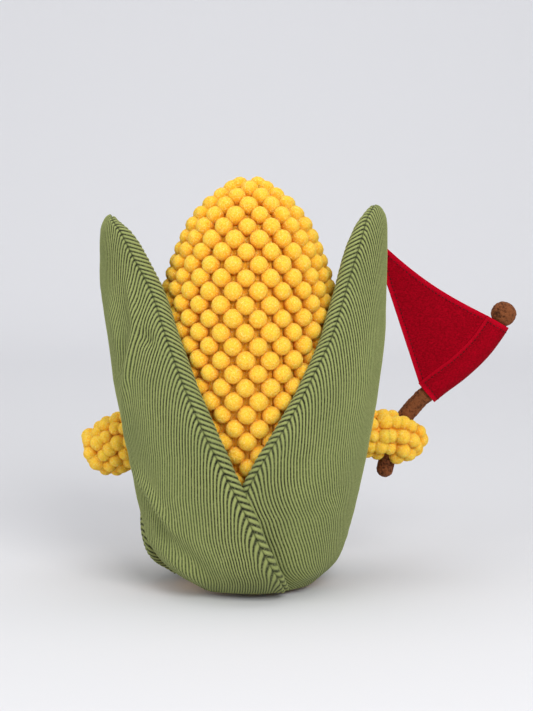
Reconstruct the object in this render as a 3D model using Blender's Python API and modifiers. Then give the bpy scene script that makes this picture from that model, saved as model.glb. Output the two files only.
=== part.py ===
"""Plush corn cob toy: stuffed cob, padded husk leaves, two arms, and a stick with a pennant.

Run with: blender --background --python part.py
The cob's axis is +Z and the middle of the base panel's underside is the origin.
The toy's front faces -Y.  Tables are in millimetres, and MM turns them into metres.
"""
import math

import bpy
import numpy as np
from mathutils import Matrix, Vector

MM = 0.001
COLLECTION = "plush_corn_cob"

GAP = 0.4                    # space that two touching pieces keep
CLOTH = 1.2                  # corduroy of the leaves and the base
FELT = 1.8                   # felt of the pennant

# Cob: height and radius of the tops of the bobbles, from the crown down to the base.
COB_PROFILE = [
    (226.5, 0.0), (225.0, 7.0), (221.0, 15.0), (214.0, 24.0), (204.0, 32.5), (192.0, 38.8),
    (178.0, 44.2), (163.0, 48.2), (146.0, 50.8), (126.0, 52.2), (104.0, 52.4), (80.0, 51.4),
    (54.0, 48.5), (32.0, 44.5), (16.0, 39.5), (6.0, 34.5), (2.6, 31.5),
]
COB_SIDES = 24
FLEECE = 8.0                 # fleece backing and bobbles together
PELLET_TOP = 26.0            # height of the pellet bag

BASE_RADIUS = 30.0
BASE_THICKNESS = 2.0
BASE_EDGE = 0.6

# Leaves.  Each row is height, rear angle, rear radius, belly radius, front angle, front radius
# and half thickness.  Angles are in degrees from the leaf's reference direction.
LEFT_ROWS = [
    (1.6, 38, 38.5, 42.5, -22, 45.0, 2.2),
    (12.0, 54, 48.5, 50.5, -12, 54.0, 3.8),
    (27.0, 67, 55.0, 56.5, -2, 58.6, 4.4),
    (54.0, 86, 58.2, 59.2, 8, 59.5, 5.4),
    (80.0, 94, 61.5, 61.5, 21, 58.8, 6.0),
    (110.0, 97, 68.5, 65.5, 34.5, 58.6, 6.2),
    (140.0, 102, 72.5, 69.5, 50, 58.2, 6.2),
    (165.0, 106, 76.5, 74.0, 65, 59.5, 5.8),
    (190.0, 104, 77.0, 77.0, 76, 68.5, 5.0),
    (201.0, 98, 76.5, 77.0, 83, 73.5, 3.8),
    (205.5, 93, 76.0, 76.0, 88, 75.0, 2.4),
]
RIGHT_ROWS = [
    (1.6, 66, 36.8, 37.8, -6, 36.2, 2.2),
    (12.0, 80, 45.0, 45.6, -8, 43.4, 3.4),
    (27.0, 86, 50.8, 51.0, -5, 49.2, 3.8),
    (54.0, 91, 56.0, 56.8, 2, 55.5, 5.0),
    (80.0, 94, 60.2, 60.5, 16.5, 58.2, 6.0),
    (110.0, 97, 65.5, 64.0, 34.5, 58.4, 6.2),
    (140.0, 103, 69.0, 67.0, 51.5, 58.4, 6.2),
    (168.0, 106, 70.5, 69.0, 66, 59.5, 5.8),
    (195.0, 103, 70.5, 71.0, 77, 64.5, 5.0),
    (206.5, 96, 70.0, 71.0, 84, 67.5, 3.8),
    (211.0, 92, 69.5, 69.8, 88, 69.0, 2.4),
]
BACK_ROWS = [
    (1.6, -78, 36.8, 38.0, 84, 41.0, 2.2),
    (12.0, -86, 45.5, 46.0, 92, 51.5, 3.4),
    (27.0, -86, 53.0, 52.0, 94, 56.3, 3.8),
    (42.0, -70, 55.5, 55.5, 82, 57.5, 4.4),
    (58.0, -52, 57.0, 57.5, 60, 58.5, 5.2),
    (80.0, -41, 59.5, 60.0, 41, 59.5, 5.8),
    (110.0, -37, 61.0, 61.0, 37, 61.0, 6.0),
    (140.0, -32, 62.0, 62.5, 32, 62.0, 6.0),
    (168.0, -24, 64.0, 65.0, 24, 64.0, 5.4),
    (190.0, -13, 66.5, 67.5, 13, 66.5, 4.4),
    (200.0, -3, 68.0, 68.5, 3, 68.0, 2.4),
]
# Leaf name: its rows, the direction its angles are counted from, and the way they turn.
LEAVES = {
    "left_leaf": (LEFT_ROWS, -90.0, -1.0),
    "right_leaf": (RIGHT_ROWS, -90.0, 1.0),
    "back_leaf": (BACK_ROWS, 90.0, 1.0),
}
LEAF_COLUMNS = 11
LEAF_RIBS = 17
RIM = CLOTH + GAP / 2        # half thickness where a leaf's two panels meet

# Arms: root, the centre of the hand, and the radii there, all in millimetres.
LEFT_ARM = {"root": (-43.0, 20.5, 89.0), "hand": (-79.0, 29.0, 72.3), "radii": (14.0, 16.6)}
RIGHT_ARM = {"root": (43.0, 20.5, 84.0), "hand": (86.0, 29.0, 77.5), "radii": (12.0, 14.6)}
ARM_FLEECE = 3.6
ARM_SIDES = 20
HAND_RINGS = 6

# Stick: route of its centre line from the bottom end to the middle of the knob.
STICK_ROUTE = [
    (76.8, 29.0, 54.6), (82.0, 29.0, 74.0), (88.0, 29.0, 87.0), (96.5, 29.0, 97.8),
    (107.5, 29.0, 107.4), (120.0, 29.0, 117.0), (131.0, 29.0, 127.6), (138.8, 29.0, 138.0),
    (145.0, 29.0, 148.3),
]
STICK_RADIUS = 4.6
KNOB_RADIUS = 7.0
CORE_RADIUS = 2.2
STICK_SIDES = 16
HOLE_CLEARANCE = 0.5

# Pennant: its tip, and the stretch of the stick that its sleeve covers, as shares of the route.
PENNANT_TIP = (71.5, 30.6, 190.0)
SLEEVE_FROM = 0.43
SLEEVE_TO = 0.94
SLEEVE_CLEARANCE = 0.5
PLATE_Y = 30.6
TIP_SHARE = 0.04            # the pennant's width at its tip, as a share of its width at the hem
HEM_OVERLAP = 1.2           # from the sleeve's turn to the hem line
FLAP_LENGTH = 3.2
PENNANT_COLUMNS = 8
PENNANT_ROWS = 12

COLOURS = {
    "bobble_fleece": ((0.86, 0.48, 0.06), 0.9),
    "fibre_fill": ((0.85, 0.85, 0.82), 1.0),
    "pellet_bag_cloth": ((0.75, 0.73, 0.68), 0.9),
    "green_corduroy": ((0.20, 0.24, 0.09), 0.85),
    "red_felt": ((0.32, 0.004, 0.012), 0.95),
    "brown_plush": ((0.17, 0.07, 0.035), 0.95),
    "rod_plastic": ((0.8, 0.8, 0.78), 0.5),
}


def clear_scene():
    for old in list(bpy.data.objects):
        bpy.data.objects.remove(old, do_unlink=True)


def new_collection(name):
    collection = bpy.data.collections.new(name)
    bpy.context.scene.collection.children.link(collection)
    return collection


def material_for(node, finish):
    colour, roughness = COLOURS[finish]
    material = bpy.data.materials.new(f"{node}_{finish}")
    material.use_nodes = True
    shader = material.node_tree.nodes["Principled BSDF"]
    shader.inputs["Base Color"].default_value = (*colour, 1.0)
    shader.inputs["Roughness"].default_value = roughness
    shader.inputs["Metallic"].default_value = 0.0
    return material


def add_object(name, mesh, collection, finish=None):
    part = bpy.data.objects.new(name, mesh)
    collection.objects.link(part)
    if finish:
        mesh.materials.append(material_for(name, finish))
    return part


def evaluated_mesh(part):
    """The part's mesh with its modifiers applied; the part itself is removed."""
    bpy.context.view_layer.update()
    graph = bpy.context.evaluated_depsgraph_get()
    mesh = bpy.data.meshes.new_from_object(part.evaluated_get(graph))
    bpy.data.objects.remove(part, do_unlink=True)
    return mesh


def shade(mesh, angle=40.0):
    mesh.shade_smooth()
    mesh.set_sharp_from_angle(angle=math.radians(angle))


def through(rows, t):
    """A smooth curve through all rows, at t from 0 (first row) to 1 (last row)."""
    rows = np.asarray(rows, float)
    last = len(rows) - 1
    place = min(max(t, 0.0), 1.0) * last
    i = min(int(place), last - 1)
    f = place - i
    a, b = rows[i], rows[i + 1]
    before = rows[i - 1] if i > 0 else 2 * a - b
    after = rows[i + 2] if i + 2 <= last else 2 * b - a
    slope_a = (b - before) / 2
    slope_b = (after - a) / 2
    return ((2 * f**3 - 3 * f**2 + 1) * a + (f**3 - 2 * f**2 + f) * slope_a
            + (3 * f**2 - 2 * f**3) * b + (f**3 - f**2) * slope_b)


# ---------------------------------------------------------------- turned pieces

def turned(name, profile, collection, sides, wall=None):
    """A profile of (height, radius) pairs, given from top to bottom, turned about Z."""
    mesh = bpy.data.meshes.new(name)
    points = [(radius * MM, 0.0, height * MM) for height, radius in profile]
    mesh.from_pydata(points, [(i, i + 1) for i in range(len(points) - 1)], [])
    part = add_object(name, mesh, collection)
    screw = part.modifiers.new("Turn", "SCREW")
    screw.steps = screw.render_steps = sides
    screw.use_merge_vertices = True
    screw.merge_threshold = 0.00001
    if wall:
        solid = part.modifiers.new("Wall", "SOLIDIFY")
        solid.thickness = wall * MM
        solid.offset = -1.0
    return part


def finish_turned(part, name, collection, finish):
    mesh = evaluated_mesh(part)
    mesh.name = name
    shade(mesh)
    return add_object(name, mesh, collection, finish)


def cob_inside(depth):
    """The cob's profile moved inwards by depth, for what fills it."""
    points = np.array(COB_PROFILE)
    moved = []
    for i, (height, radius) in enumerate(points):
        ahead = points[min(i + 1, len(points) - 1)] - points[max(i - 1, 0)]
        ahead = ahead / np.linalg.norm(ahead)
        normal = np.array([ahead[1], -ahead[0]])          # outwards, as (height, radius)
        if i == 0:
            normal = np.array([1.0, 0.0])
        moved.append((height - normal[0] * depth, max(radius - normal[1] * depth, 0.0)))
    return moved


def radius_inside(depth, height):
    inside = sorted(cob_inside(depth))
    return float(np.interp(height, [h for h, _ in inside], [r for _, r in inside]))


def build_cob(collection):
    cover = turned("cover_draft", COB_PROFILE, collection, COB_SIDES, wall=FLEECE)
    finish_turned(cover, "cob_cover", collection, "bobble_fleece")

    clear = FLEECE + 2 * GAP
    floor_height = PELLET_TOP + GAP
    upper = [p for p in cob_inside(clear) if p[0] > floor_height + 4.0]
    stuffing = upper + [(floor_height, radius_inside(clear, floor_height)), (floor_height, 0.0)]
    stuffing[0] = (stuffing[0][0], 0.0)
    fill = turned("stuffing_draft", stuffing, collection, COB_SIDES)
    finish_turned(fill, "cob_stuffing", collection, "fibre_fill")

    lowest = BASE_THICKNESS + 2.0
    heights = [PELLET_TOP, PELLET_TOP * 0.75, PELLET_TOP * 0.5, lowest + 5.0]
    sides = [(h, radius_inside(clear + 1.5, h)) for h in heights]
    bag = [(PELLET_TOP, 0.0)] + sides + [(lowest, sides[-1][1] - 4.0), (lowest, 0.0)]
    pellets = turned("pellets_draft", bag, collection, COB_SIDES)
    finish_turned(pellets, "pellet_bag", collection, "pellet_bag_cloth")


def build_base(collection):
    bpy.ops.mesh.primitive_cylinder_add(
        vertices=COB_SIDES, radius=BASE_RADIUS * MM, depth=BASE_THICKNESS * MM,
        location=(0.0, 0.0, BASE_THICKNESS * MM / 2))
    base = bpy.context.object
    base.name = "base_panel"
    edge = base.modifiers.new("Edge", "BEVEL")
    edge.width = BASE_EDGE * MM
    edge.segments = 1
    edge.limit_method = "ANGLE"
    base.data.materials.append(material_for("base_panel", "green_corduroy"))
    for owner in list(base.users_collection):
        owner.objects.unlink(base)
    collection.objects.link(base)


# ---------------------------------------------------------------- leaves

def leaf_middle(leaf, across, along):
    """A point of the leaf's middle surface; across runs from rear to front, along from base to tip."""
    rows, reference, turn = LEAVES[leaf]
    height, rear, rear_r, belly_r, front, front_r, _ = through(rows, along)
    angle = rear + (front - rear) * across
    radius = (rear_r * (1 - across) * (1 - 2 * across) + belly_r * 4 * across * (1 - across)
              + front_r * across * (2 * across - 1))
    around = math.radians(reference + turn * angle)
    return np.array([radius * math.cos(around), radius * math.sin(around), height])


def leaf_normal(leaf, across, along):
    """Unit normal of the middle surface, pointing away from the cob."""
    step = 0.004
    a0, a1 = max(across - step, 0.0), min(across + step, 1.0)
    b0, b1 = max(along - step, 0.0), min(along + step, 1.0)
    sideways = leaf_middle(leaf, a1, along) - leaf_middle(leaf, a0, along)
    upwards = leaf_middle(leaf, across, b1) - leaf_middle(leaf, across, b0)
    normal = np.cross(sideways, upwards)
    normal /= np.linalg.norm(normal)
    point = leaf_middle(leaf, across, along)
    outwards = normal[0] * point[0] + normal[1] * point[1]
    return normal if outwards > 0 else -normal


def leaf_loft(leaf, across, along):
    """Half thickness of the padded leaf, thin at the rim and full in the middle."""
    full = through(LEAVES[leaf][0], along)[6]
    side = 1.0 - abs(2.0 * across - 1.0) ** 3.0
    ends = 1.0 - abs(2.0 * along - 1.0) ** 10.0
    return RIM + max(full - RIM, 0.0) * math.sqrt(max(side * ends, 0.0))


def leaf_grid(count, margin=0):
    """Positions from rim to rim, closer together near the rims."""
    spots = [(1.0 - math.cos(math.pi * i / (count - 1))) / 2.0 for i in range(count)]
    return spots[margin:count - margin]


def grid_object(name, columns, rows, place, collection):
    """A grid primitive whose points are moved to place(across, along)."""
    bpy.ops.mesh.primitive_grid_add(
        x_subdivisions=len(columns) - 1, y_subdivisions=len(rows) - 1, size=2.0)
    part = bpy.context.object
    part.name = name
    for vertex in part.data.vertices:
        i = round((vertex.co.x + 1.0) / 2.0 * (len(columns) - 1))
        j = round((vertex.co.y + 1.0) / 2.0 * (len(rows) - 1))
        vertex.co = Vector(place(columns[i], rows[j])) * MM
    for owner in list(part.users_collection):
        owner.objects.unlink(part)
    collection.objects.link(part)
    return part


def solidify(part, thickness):
    """Gives an open surface a wall on its back side, with all faces pointing out."""
    solid = part.modifiers.new("Wall", "SOLIDIFY")
    solid.thickness = thickness * MM
    solid.offset = -1.0
    return solid


def face_away(part, outwards):
    """Turns the faces so that the normal of the first one agrees with outwards."""
    part.data.update()
    if part.data.polygons[0].normal.dot(Vector(outwards)) < 0:
        part.data.flip_normals()


def leaf_panel(leaf, side, collection):
    """The cloth on one side of a leaf; side is +1 for the outer panel and -1 for the inner."""
    columns = leaf_grid(LEAF_COLUMNS)
    ribs = [j / (LEAF_RIBS - 1) for j in range(LEAF_RIBS)]

    def place(across, along):
        lift = side * leaf_loft(leaf, across, along)
        return leaf_middle(leaf, across, along) + leaf_normal(leaf, across, along) * lift

    word = "outer" if side > 0 else "inner"
    name = f"{leaf}_{word}_panel"
    panel = grid_object(name, columns, ribs, place, collection)
    face_away(panel, leaf_normal(leaf, 0.02, 0.02) * side)
    solidify(panel, CLOTH)
    shade(panel.data)
    panel.data.materials.append(material_for(name, "green_corduroy"))


def leaf_wadding(leaf, collection):
    """The flat fill between a leaf's two panels."""
    columns = leaf_grid(LEAF_COLUMNS, margin=1)
    ribs = [j / (LEAF_RIBS - 1) for j in range(1, LEAF_RIBS - 2)]
    name = f"{leaf}_wadding"
    part = grid_object(name, columns, ribs,
                       lambda across, along: leaf_middle(leaf, across, along), collection)
    face_away(part, leaf_normal(leaf, columns[0], ribs[0]))
    full = max(row[6] for row in LEAVES[leaf][0])
    group = part.vertex_groups.new(name="loft")
    for vertex in part.data.vertices:
        j, i = divmod(vertex.index, len(columns))
        half = leaf_loft(leaf, columns[i], ribs[j]) - CLOTH - 3 * GAP
        group.add([vertex.index], max(half, 0.1) / full, "REPLACE")
    solid = solidify(part, 2 * full)
    solid.offset = 0.0
    solid.vertex_group = "loft"
    part.data.materials.append(material_for(name, "fibre_fill"))


def build_leaves(collection):
    for leaf in LEAVES:
        leaf_panel(leaf, 1, collection)
        leaf_panel(leaf, -1, collection)
        leaf_wadding(leaf, collection)


# ---------------------------------------------------------------- arms

def arm_profile(arm, inset):
    """Height and radius along an arm, from the tip of the hand down to the open root."""
    length = (Vector(arm["hand"]) - Vector(arm["root"])).length
    root_radius, hand_radius = (radius - inset for radius in arm["radii"])
    points = []
    for i in range(HAND_RINGS + 1):
        turn = math.pi / 2 * i / HAND_RINGS
        points.append((length + hand_radius * math.cos(turn), hand_radius * math.sin(turn)))
    for share in (0.66, 0.33, 0.0):
        eased = share * share * (3 - 2 * share)
        radius = root_radius + (hand_radius - root_radius) * eased
        points.append((length * share + inset, radius))
    return points


def arm_place(arm):
    """Turns +Z to run from the arm's root to its hand."""
    root, hand = Vector(arm["root"]), Vector(arm["hand"])
    turn = (hand - root).to_track_quat("Z", "Y").to_matrix().to_4x4()
    return Matrix.Translation(root * MM) @ turn


def cob_clearance(cutters):
    """A cutter of the cob's outer shape, so that an arm's root fits against the cob."""
    grown = [(height, radius + GAP) for height, radius in COB_PROFILE]
    profile = [(grown[0][0] + GAP, 0.0)] + grown + [(grown[-1][0], 0.0)]
    mesh = evaluated_mesh(turned("clearance_draft", profile, cutters, 2 * COB_SIDES))
    cutter = add_object("cob_clearance", mesh, cutters)
    cutter.display_type = "WIRE"
    cutter.hide_render = True
    return cutter


def build_arm(name, arm, collection, cutters):
    cover = turned(f"{name}_cover_draft", arm_profile(arm, 0.0), collection, ARM_SIDES,
                   wall=ARM_FLEECE)
    fill_profile = arm_profile(arm, ARM_FLEECE + GAP)
    fill_profile.append((fill_profile[-1][0], 0.0))
    fill = turned(f"{name}_stuffing_draft", fill_profile, collection, ARM_SIDES)
    for draft, node, finish in ((cover, f"{name}_cover", "bobble_fleece"),
                                (fill, f"{name}_stuffing", "fibre_fill")):
        part = finish_turned(draft, node, collection, finish)
        part.matrix_world = arm_place(arm)
        for cutter in cutters:
            cut = part.modifiers.new(f"Cut {cutter.name}", "BOOLEAN")
            cut.operation = "DIFFERENCE"
            cut.solver = "EXACT"
            cut.object = cutter


# ---------------------------------------------------------------- stick and pennant

def route_length():
    spots = [through(STICK_ROUTE, i / 200) for i in range(201)]
    return sum(float(np.linalg.norm(b - a)) for a, b in zip(spots, spots[1:]))


def along_route(distance, length):
    """Centre and direction of the stick at a distance from its bottom end, past its ends too."""
    share = distance / length
    inside = min(max(share, 0.0), 1.0)
    centre = through(STICK_ROUTE, inside)
    step = 0.01
    behind = through(STICK_ROUTE, max(inside - step, 0.0))
    ahead = through(STICK_ROUTE, min(inside + step, 1.0)) - behind
    ahead /= np.linalg.norm(ahead)
    return centre + ahead * (share - inside) * length, ahead


def bend_to_route(mesh, length):
    """Moves a mesh that stands on Z so that it follows the stick's route."""
    for vertex in mesh.vertices:
        x, y, z = vertex.co / MM
        centre, ahead = along_route(z, length)
        side = np.array([ahead[2], 0.0, -ahead[0]])
        back = np.array([0.0, 1.0, 0.0])
        vertex.co = Vector(centre + side * x + back * y) * MM


def shaft_heights(low, high, step=6.0):
    count = max(int(math.ceil((high - low) / step)), 1)
    return [high + (low - high) * i / count for i in range(count + 1)]


def build_stick(collection, cutters):
    length = route_length()
    neck = length - math.sqrt(KNOB_RADIUS**2 - STICK_RADIUS**2)
    knob = []
    widest = math.pi - math.asin(STICK_RADIUS / KNOB_RADIUS)
    for i in range(8):
        turn = widest * i / 7
        knob.append((length + KNOB_RADIUS * math.cos(turn), KNOB_RADIUS * math.sin(turn)))
    shaft = shaft_heights(2.0, neck - 2.0)
    profile = knob + [(h, STICK_RADIUS) for h in shaft] + [(0.0, STICK_RADIUS - 0.8)]
    wall = STICK_RADIUS - CORE_RADIUS - GAP
    cover = evaluated_mesh(turned("stick_draft", profile, collection, STICK_SIDES, wall=wall))
    bend_to_route(cover, length)
    cover.name = "flag_stick_cover"
    shade(cover)
    add_object("flag_stick_cover", cover, collection, "brown_plush")

    rod = [(shaft[0], 0.0)] + [(h, CORE_RADIUS) for h in shaft] + [(shaft[-1], 0.0)]
    core = evaluated_mesh(turned("core_draft", rod, collection, STICK_SIDES // 2))
    bend_to_route(core, length)
    core.name = "flag_stick_core"
    shade(core)
    add_object("flag_stick_core", core, collection, "rod_plastic")

    hole_radius = STICK_RADIUS + HOLE_CLEARANCE
    past = 12.0
    run = shaft_heights(-past, length * 0.45)
    hole = [(run[0], 0.0)] + [(h, hole_radius) for h in run] + [(run[-1], 0.0)]
    mesh = evaluated_mesh(turned("hole_draft", hole, collection, STICK_SIDES))
    bend_to_route(mesh, length)
    cutter = add_object("stick_hole", mesh, cutters)
    cutter.display_type = "WIRE"
    cutter.hide_render = True
    return cutter


def sleeve_turns():
    """Angles round the stick that the felt covers, from its back to its front."""
    return [math.radians(140.0 - 280.0 * i / 9) for i in range(10)]


def build_pennant(collection):
    """One sheet of felt: the pennant, then the turn round the stick, then the sewn-down flap."""
    length = route_length()
    loop = STICK_RADIUS + SLEEVE_CLEARANCE + FELT / 2
    turns = sleeve_turns()
    columns = list(range(PENNANT_COLUMNS + len(turns) + 2))
    rows = [j / PENNANT_ROWS for j in range(PENNANT_ROWS + 1)]
    tip = np.array(PENNANT_TIP)
    back = np.array([0.0, 1.0, 0.0])
    front_flap = PLATE_Y - STICK_ROUTE[0][1] - FELT - GAP

    def place(column, along):
        spot = SLEEVE_FROM + (SLEEVE_TO - SLEEVE_FROM) * along
        centre, ahead = along_route(spot * length, length)
        side = np.array([ahead[2], 0.0, -ahead[0]])
        hem = centre - side * (loop + HEM_OVERLAP)
        hem[1] = PLATE_Y
        if column < PENNANT_COLUMNS:
            share = column / PENNANT_COLUMNS
            seam_middle = along_route((SLEEVE_FROM + SLEEVE_TO) / 2 * length, length)[0]
            start = tip + (hem - seam_middle) * TIP_SHARE
            start[1] = PLATE_Y
            return start + (hem - start) * share
        if column == PENNANT_COLUMNS:
            return hem
        k = column - PENNANT_COLUMNS - 1
        if k < len(turns):
            return centre + side * loop * math.cos(turns[k]) + back * loop * math.sin(turns[k])
        return centre - side * (loop + FLAP_LENGTH) + back * front_flap

    flag = grid_object("flag", columns, rows, place, collection)
    face_away(flag, (0.0, -1.0, 0.0))
    solid = solidify(flag, FELT)
    solid.offset = 0.0
    shade(flag.data)
    flag.data.materials.append(material_for("flag", "red_felt"))


def build():
    clear_scene()
    collection = new_collection(COLLECTION)
    cutters = new_collection("cutters")
    build_cob(collection)
    build_base(collection)
    build_leaves(collection)
    hole = build_stick(collection, cutters)
    clearance = cob_clearance(cutters)
    build_arm("left_arm", LEFT_ARM, collection, [clearance])
    build_arm("right_arm", RIGHT_ARM, collection, [clearance, hole])
    build_pennant(collection)


build()
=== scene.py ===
"""Visual model of the plush corn cob toy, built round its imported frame.

The toy stands on the floor with its cob upright on +Z, and its front faces -Y.
Tables of the toy's shape are in millimetres; MM turns them into metres.
"""
import math

import bpy
import numpy as np
from mathutils import Matrix, Vector


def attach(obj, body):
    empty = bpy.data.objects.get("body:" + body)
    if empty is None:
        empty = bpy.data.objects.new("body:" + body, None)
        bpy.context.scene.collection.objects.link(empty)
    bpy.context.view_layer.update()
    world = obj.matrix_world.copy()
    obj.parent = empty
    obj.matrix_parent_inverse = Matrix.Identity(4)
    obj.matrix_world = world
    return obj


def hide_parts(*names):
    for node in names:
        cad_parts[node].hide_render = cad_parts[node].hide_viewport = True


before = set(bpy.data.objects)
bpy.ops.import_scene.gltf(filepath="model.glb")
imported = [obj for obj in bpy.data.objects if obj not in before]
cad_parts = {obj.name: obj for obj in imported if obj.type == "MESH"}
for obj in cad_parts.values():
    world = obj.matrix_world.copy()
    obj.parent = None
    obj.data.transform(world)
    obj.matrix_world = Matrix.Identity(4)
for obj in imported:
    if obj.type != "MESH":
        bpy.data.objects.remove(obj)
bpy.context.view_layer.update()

MM = 0.001
BODY = "root"
rng = np.random.default_rng(7)

# ---------------------------------------------------------------- the toy's shape, as in its CAD

COB_PROFILE = [
    (226.5, 0.0), (225.0, 7.0), (221.0, 15.0), (214.0, 24.0), (204.0, 32.5), (192.0, 38.8),
    (178.0, 44.2), (163.0, 48.2), (146.0, 50.8), (126.0, 52.2), (104.0, 52.4), (80.0, 51.4),
    (54.0, 48.5), (32.0, 44.5), (16.0, 39.5), (6.0, 34.5), (2.6, 31.5),
]
# Leaf rows: height, rear angle, rear radius, belly radius, front angle, front radius, half thickness.
LEFT_ROWS = [
    (1.6, 38, 38.5, 42.5, -22, 45.0, 2.2),
    (12.0, 54, 48.5, 50.5, -12, 54.0, 3.8),
    (27.0, 67, 55.0, 56.5, -2, 58.6, 4.4),
    (54.0, 86, 58.2, 59.2, 8, 59.5, 5.4),
    (80.0, 94, 61.5, 61.5, 21, 58.8, 6.0),
    (110.0, 97, 68.5, 65.5, 34.5, 58.6, 6.2),
    (140.0, 102, 72.5, 69.5, 50, 58.2, 6.2),
    (165.0, 106, 76.5, 74.0, 65, 59.5, 5.8),
    (190.0, 104, 77.0, 77.0, 76, 68.5, 5.0),
    (201.0, 98, 76.5, 77.0, 83, 73.5, 3.8),
    (205.5, 93, 76.0, 76.0, 88, 75.0, 2.4),
]
RIGHT_ROWS = [
    (1.6, 66, 36.8, 37.8, -6, 36.2, 2.2),
    (12.0, 80, 45.0, 45.6, -8, 43.4, 3.4),
    (27.0, 86, 50.8, 51.0, -5, 49.2, 3.8),
    (54.0, 91, 56.0, 56.8, 2, 55.5, 5.0),
    (80.0, 94, 60.2, 60.5, 16.5, 58.2, 6.0),
    (110.0, 97, 65.5, 64.0, 34.5, 58.4, 6.2),
    (140.0, 103, 69.0, 67.0, 51.5, 58.4, 6.2),
    (168.0, 106, 70.5, 69.0, 66, 59.5, 5.8),
    (195.0, 103, 70.5, 71.0, 77, 64.5, 5.0),
    (206.5, 96, 70.0, 71.0, 84, 67.5, 3.8),
    (211.0, 92, 69.5, 69.8, 88, 69.0, 2.4),
]
BACK_ROWS = [
    (1.6, -78, 36.8, 38.0, 84, 41.0, 2.2),
    (12.0, -86, 45.5, 46.0, 92, 51.5, 3.4),
    (27.0, -86, 53.0, 52.0, 94, 56.3, 3.8),
    (42.0, -70, 55.5, 55.5, 82, 57.5, 4.4),
    (58.0, -52, 57.0, 57.5, 60, 58.5, 5.2),
    (80.0, -41, 59.5, 60.0, 41, 59.5, 5.8),
    (110.0, -37, 61.0, 61.0, 37, 61.0, 6.0),
    (140.0, -32, 62.0, 62.5, 32, 62.0, 6.0),
    (168.0, -24, 64.0, 65.0, 24, 64.0, 5.4),
    (190.0, -13, 66.5, 67.5, 13, 66.5, 4.4),
    (200.0, -3, 68.0, 68.5, 3, 68.0, 2.4),
]
LEFT_ARM = {"root": (-43.0, 20.5, 89.0), "hand": (-79.0, 29.0, 72.3), "radii": (14.0, 16.6)}
RIGHT_ARM = {"root": (43.0, 20.5, 84.0), "hand": (86.0, 29.0, 77.5), "radii": (12.0, 14.6)}
STICK_ROUTE = [
    (76.8, 29.0, 54.6), (82.0, 29.0, 74.0), (88.0, 29.0, 87.0), (96.5, 29.0, 97.8),
    (107.5, 29.0, 107.4), (120.0, 29.0, 117.0), (131.0, 29.0, 127.6), (138.8, 29.0, 138.0),
    (145.0, 29.0, 148.3),
]
STICK_RADIUS = 4.6
KNOB_RADIUS = 7.0
PENNANT_TIP = (71.5, 30.6, 190.0)
SLEEVE_FROM, SLEEVE_TO = 0.465, 0.955
PLATE_Y = 30.6
FELT = 1.8

# ---------------------------------------------------------------- cloth

WALE = 1.8                   # pitch of the corduroy's ribs
SEAM_ANGLE = 52.0            # ribs' angle to the seam, where they meet it on the outer side
RIM_ANGLE = 44.0             # and on the turned-over rim
SEAM_DEPTH = 1.0             # how far the seam pulls the cloth in
SETTLE = 4.6                 # distance from the seam over which ribs swing to their free run
WALE_STEPS = 6               # mesh columns in each rib
WALE_HEIGHT = 0.95
RIB_ROWS = 52                # mesh rows along a rib
CLOTH = 0.8                  # thickness
TABLE_RIBS = 241             # rows of a leaf's table, from base to tip
TABLE_SIDE = 161             # columns of a leaf's table, from seam to rear rim
TIP = 9.0                    # height over which a leaf rounds off at its top
FOOT = 6.0                   # height over which its padding thins at the base
FOOT_RISE = 3.6              # how far its foot lifts where it bulges past the base
WORN_FROM, WORN_OVER = 16.0, 14.0    # distance from the seam where ribs begin to flatten, and over
WORN_SHARE = 0.45            # share of their height that they lose

BOBBLE = 5.2                 # radius of a bobble on the cob
BULGE = 0.5                  # how far bobbles stand out past the cob's outline
BACKING = 2.2                # depth of the fleece between bobbles, under their middles
BOBBLE_ACROSS = 13.1         # spacing round the cob
BOBBLE_ROW = 7.25            # spacing of the rows along the cob
LATTICE_LEAN = -2.2          # how far the lattice bows sideways halfway down the cob
LATTICE_SHIFT = 0.8
SIDE_MARGIN = 2.4            # between the outermost bobbles' middles and a side seam
SIDE_GAP = 6.0               # a gap at a side seam this wide gets a bobble of its own
CROWN_START = 9.6            # distance of the first full row from the cob's top
CROWN = [(5.2, 8), (5.2, 186)]       # bobbles above it: distance from the top, and direction
CROWN_LIFT = 0.6
ARM_BOBBLE = 4.3
ARM_SPACING = 7.5
KEEP_CLEAR = 1.6             # between the stick and the middles of bobbles round it

PENNANT_SAG = 3.4            # how far the pennant's upper edge curves in
PLATE_COLUMNS, TURN_COLUMNS, FLAP_COLUMNS, PENNANT_ROWS = 46, 24, 4, 61
EDGE_HIGHLIGHT_WIDTH = 2.8            # width of the painted highlight along cut edges
STITCH_INSET = 3.0           # between an edge and its stitching
STITCH_LIFT = FELT / 2 + 0.08
STITCH_STEP, STITCH = 2.3, 1.4       # from stitch to stitch, and a stitch's length
STITCH_RADIUS = 0.32


# ---------------------------------------------------------------- small helpers

def through(rows, t):
    """Smooth curve through all rows, for t from 0 (first row) to 1 (last row)."""
    rows = np.asarray(rows, float)
    t = np.atleast_1d(np.asarray(t, float))
    last = len(rows) - 1
    place = np.clip(t, 0.0, 1.0) * last
    i = np.minimum(place.astype(int), last - 1)
    f = (place - i)[:, None]
    padded = np.vstack([2 * rows[0] - rows[1], rows, 2 * rows[-1] - rows[-2]])
    before, a, b, after = padded[i], padded[i + 1], padded[i + 2], padded[i + 3]
    return ((2 * f**3 - 3 * f**2 + 1) * a + (f**3 - 2 * f**2 + f) * (b - before) / 2
            + (3 * f**2 - 2 * f**3) * b + (f**3 - f**2) * (after - a) / 2)


def smooth_step(x):
    x = np.clip(x, 0.0, 1.0)
    return x * x * (3 - 2 * x)


def run_along(points):
    """Distance along a line of points, from the first to each."""
    return np.concatenate([[0.0], np.cumsum(np.linalg.norm(np.diff(points, axis=0), axis=1))])


def unit(vectors):
    return vectors / np.maximum(np.linalg.norm(vectors, axis=-1, keepdims=True), 1e-9)


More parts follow.
